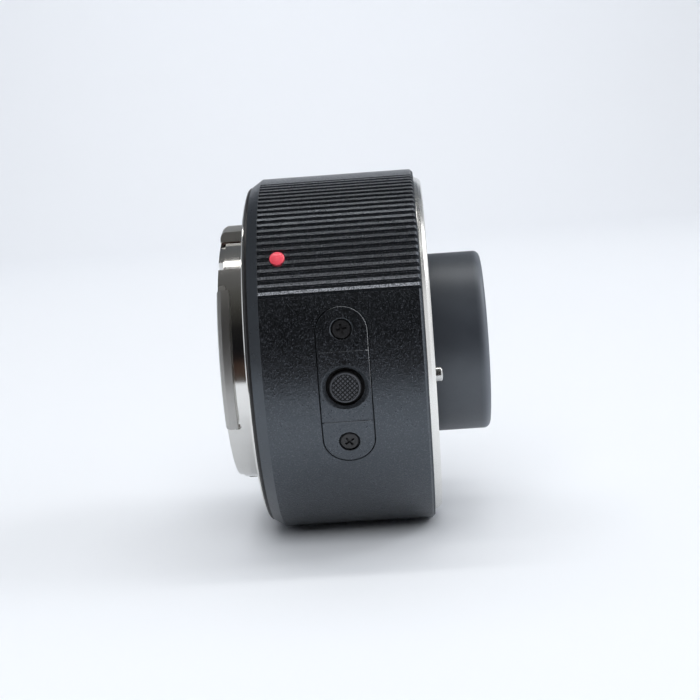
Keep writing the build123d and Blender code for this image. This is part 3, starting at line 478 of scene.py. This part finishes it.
def mat_turned(name, base, lo, hi, rings=60000, lugs=0.0):
    """Polished or turned metal with very fine turning marks round the optical axis."""
    t = Tree(name)
    p = t.polar(rings * 0.15, rings * 0.15, 6.0)
    marks = t.noise(1.0, 2.0, 0.6, p)
    smudge = t.noise(140, 3.0, 0.55)
    t.color(smudge, tuple(c * 0.93 for c in base), base)
    t.set(Metallic=1.0)
    # painted shade: the lug faces are tinted darker than the rest of the chrome, and rougher
    if lugs:
        sep = t.nt.nodes.new("ShaderNodeSeparateXYZ")
        t.link(t.coords(), sep.inputs[0])
        y2 = t.math("MULTIPLY", sep.outputs[1], sep.outputs[1])
        z2 = t.math("MULTIPLY", sep.outputs[2], sep.outputs[2])
        radius = t.math("SQRT", t.math("ADD", y2, z2))
        on_lug = t.math("MULTIPLY", t.span(radius, 0.0, lugs, 25.8 * MM, 26.1 * MM), t.span(sep.outputs[0], 1.0, 0.0, -0.6 * MM, -0.3 * MM))
        t.link(t.math("ADD", t.span(smudge, lo, hi, 0.3, 0.7), on_lug), t.bsdf.inputs["Roughness"])
        tint = t.nt.nodes.new("ShaderNodeMix")
        tint.data_type = "RGBA"
        t.link(t.math("DIVIDE", on_lug, lugs), tint.inputs[0])
        t.link(t.bsdf.inputs["Base Color"].links[0].from_socket, tint.inputs[6])
        tint.inputs[7].default_value = tuple(c * 0.66 for c in base) + (1,)
        t.link(tint.outputs[2], t.bsdf.inputs["Base Color"])
    else:
        t.rough(smudge, lo, hi)
    t.bump(marks, 0.0012 * MM, 0.35)
    return t.mat


def mat_metal(name, base, lo, hi, grain=900):
    t = Tree(name)
    g = t.noise(grain, 3.0, 0.6, t.stretch(1.0, 3.0, 3.0))
    t.color(g, tuple(c * 0.86 for c in base), base)
    t.set(Metallic=1.0)
    t.rough(g, lo, hi)
    t.bump(g, 0.002 * MM, 0.5)
    return t.mat


def mat_red():
    t = Tree("index_red")
    g = t.noise(700, 2.0, 0.5)
    t.color(g, (0.95, 0.085, 0.125), (0.99, 0.105, 0.150))
    t.set(Roughness=0.34, Coat_Weight=0.25, Coat_Roughness=0.12)
    t.bump(g, 0.01 * MM, 0.25)
    return t.mat


def mat_plastic(name, dark, light, lo=0.45, hi=0.62):
    t = Tree(name)
    g = t.noise(3000, 2.0, 0.6)
    t.color(g, dark, light)
    t.rough(g, lo, hi)
    t.bump(g, 0.008 * MM, 0.5)
    return t.mat


def mat_board():
    t = Tree("board_green")
    tracks = t.noise(900, 1.0, 0.2, t.stretch(0.3, 1.0, 3.0))
    t.color(tracks, (0.010, 0.060, 0.026), (0.030, 0.150, 0.060), 0.47, 0.53)
    t.set(Roughness=0.3)
    t.bump(tracks, 0.02 * MM, 0.5)
    return t.mat


def mat_flex():
    t = Tree("flex_amber")
    g = t.noise(700, 1.0, 0.2, t.stretch(0.2, 3.0, 3.0))
    t.color(g, (0.30, 0.14, 0.03), (0.46, 0.25, 0.06), 0.46, 0.54)
    t.set(Roughness=0.28)
    return t.mat


def mat_glass():
    t = Tree("coated_glass")
    g = t.noise(60, 1.0, 0.5)
    t.color(g, (0.95, 0.975, 0.965), (0.97, 0.99, 0.985))
    t.set(Transmission_Weight=1.0, Roughness=0.0, IOR=1.52, Coat_Weight=0.35, Coat_Roughness=0.02,
          Coat_Tint=(0.78, 0.90, 0.84, 1), Specular_Tint=(0.62, 0.85, 0.74, 1))
    return t.mat


# the last two colours of each coating are those of its painted edge highlight
barrel_mat = mat_textured_black("barrel_coating", 1.0, 0.15, (0.022, 0.023, 0.026), (0.150, 0.155, 0.168))
cover_mat = mat_textured_black("cover_coating", 1.0, 0.1, (0.62, 0.64, 0.67), (0.90, 0.92, 0.95), cover=True)
rubber_mat = mat_rubber()
chrome_mat = mat_turned("polished_chrome", (0.80, 0.79, 0.765), 0.09, 0.14, lugs=0.40)
ring_mat = mat_turned("satin_chrome", (0.86, 0.85, 0.82), 0.20, 0.28)
steel_mat = mat_metal("bright_steel", (0.66, 0.66, 0.65), 0.18, 0.30)
black_screw_mat = mat_satin("black_oxide", (0.012, 0.012, 0.013), (0.024, 0.024, 0.026), 0.30, 0.42)
nose_mat = mat_nose()
matt_mat = mat_satin("matt_anodised", (0.010, 0.010, 0.011), (0.014, 0.014, 0.015), 0.52, 0.64)
button_mat = mat_button()
gold_mat = mat_metal("contact_gold", (0.86, 0.62, 0.26), 0.14, 0.24)
brass_mat = mat_metal("shim_brass", (0.72, 0.57, 0.30), 0.25, 0.38)
plastic_mat = mat_plastic("black_plastic", (0.010, 0.010, 0.011), (0.018, 0.018, 0.019))
red_mat = mat_red()
board_mat = mat_board()
flex_mat = mat_flex()
glass_mat = mat_glass()

finish = {
    "outer_barrel": barrel_mat, "index_dot": red_mat, "rear_gasket": rubber_mat, "rear_bayonet": chrome_mat,
    "rear_mount_screws": steel_mat, "rear_mount_shim": brass_mat, "rear_baffle": plastic_mat,
    "rear_baffle_screws": black_screw_mat, "rear_contact_block": plastic_mat, "rear_contact_pads": gold_mat,
    "rear_contact_screws": black_screw_mat, "core_frame": matt_mat, "barrel_orings": rubber_mat,
    "front_mount_shim": brass_mat, "front_mount_ring": ring_mat, "front_bayonet_tabs": ring_mat, "front_mount_screws": steel_mat,
    "mount_leaf_springs": steel_mat, "front_contact_block": plastic_mat, "front_contact_screws": black_screw_mat,
    "contact_pin_springs": steel_mat, "lock_pin": steel_mat, "release_lever": steel_mat,
    "lever_pivot_pin": steel_mat, "lever_spring": steel_mat, "lever_bracket": steel_mat,
    "lever_bracket_screws": steel_mat, "release_button": button_mat, "button_spring": steel_mat,
    "release_cover": cover_mat, "release_cover_screws": black_screw_mat, "release_cover_seal": rubber_mat,
    "circuit_board": board_mat, "board_components": plastic_mat, "board_screws": steel_mat,
    "flex_circuit": flex_mat, "nose_barrel": nose_mat, "nose_screws": steel_mat,
    "front_retaining_ring": matt_mat, "front_spacer": matt_mat, "flare_stop": plastic_mat,
    "rear_lens_cell": matt_mat, "rear_spacer": matt_mat, "rear_retaining_ring": matt_mat,
}
for k in range(1, 7):
    finish["lens_element_%d" % k] = glass_mat
for k in range(1, 11):
    finish["contact_pin_%02d" % k] = gold_mat

for name, obj in nodes.items():
    mat = finish[name]
    if not obj.data.materials:
        obj.data.materials.append(mat)
    for k in range(len(obj.data.materials)):
        obj.data.materials[k] = mat

# ------------------------------------------------------------------ broken edges


def soften(name, width, segments=2, angle=28):
    """Machined edges get a small rounded break, so that they catch the light."""
    m = nodes[name].modifiers.new("edge_break", "BEVEL")
    m.width = width * MM
    m.segments = segments
    m.limit_method = "ANGLE"
    m.angle_limit = radians(angle)
    m.harden_normals = True
    m.use_clamp_overlap = False
    m.miter_outer = "MITER_ARC"


for name, width in (("outer_barrel", 0.13), ("release_cover", 0.13), ("rear_bayonet", 0.12),
                    ("front_mount_ring", 0.08), ("front_bayonet_tabs", 0.10), ("lock_pin", 0.05),
                    ("nose_barrel", 0.08)):
    soften(name, width)
